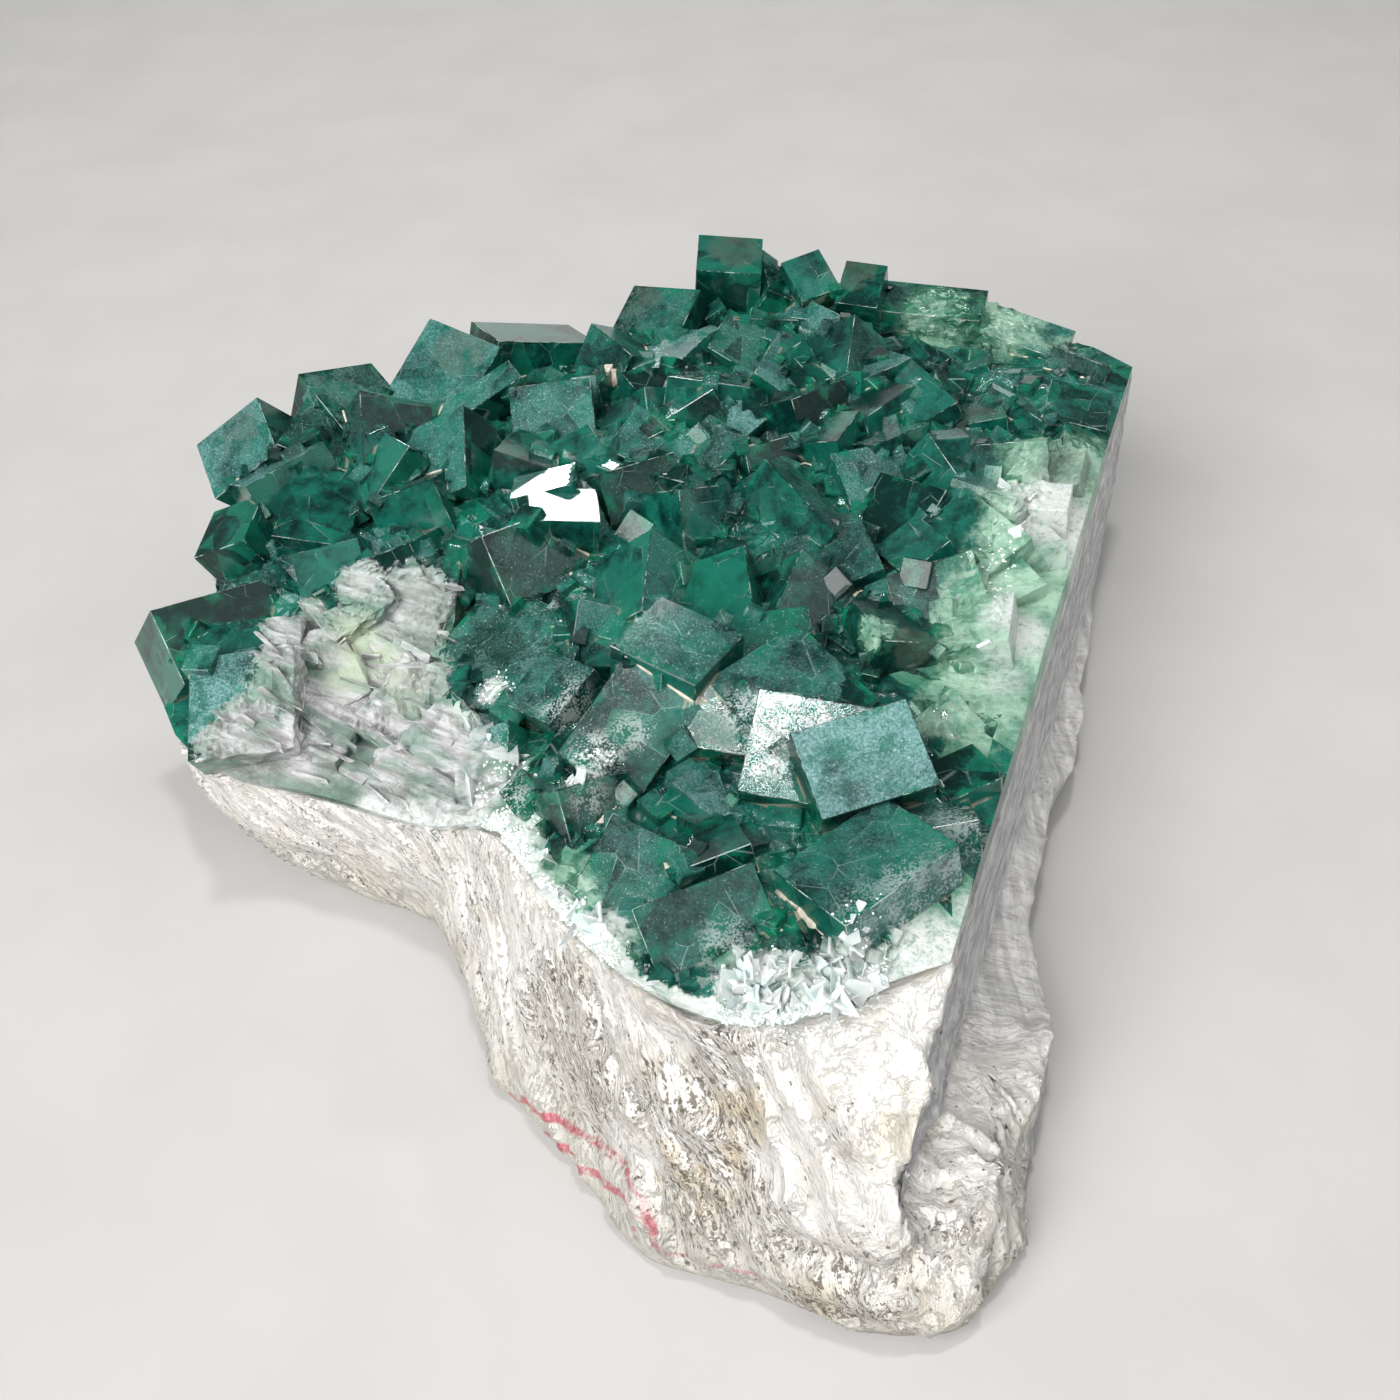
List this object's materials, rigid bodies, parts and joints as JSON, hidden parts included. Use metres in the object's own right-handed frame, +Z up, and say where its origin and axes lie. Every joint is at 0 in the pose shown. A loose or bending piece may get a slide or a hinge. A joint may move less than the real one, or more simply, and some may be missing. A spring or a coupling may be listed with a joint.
{
  "type": "cubic fluorite cluster",
  "caption": "Loose mineral specimen: a crust of intergrown green fluorite cubes on white foliated matrix rock, sawn flat on one side.",
  "frame": {"origin": "middle of the bounding box, on the plane of the flat underside", "axes": "+Z up from the underside to the crystals, +Y to the back of the crust along the length, +X to the sawn side"},
  "size_m": [0.283, 0.3114, 0.0872],
  "materials": {
    "white_rock": "rough, foliated white stone with grey-brown flecks; sawn smooth and grey on one side",
    "green_fluorite": "translucent deep green crystal with glassy flat faces"
  },
  "bodies": {
    "root": {"matrix_rock": "white_rock", "fluorite_crystals": "green_fluorite"}
  },
  "joints": []
}
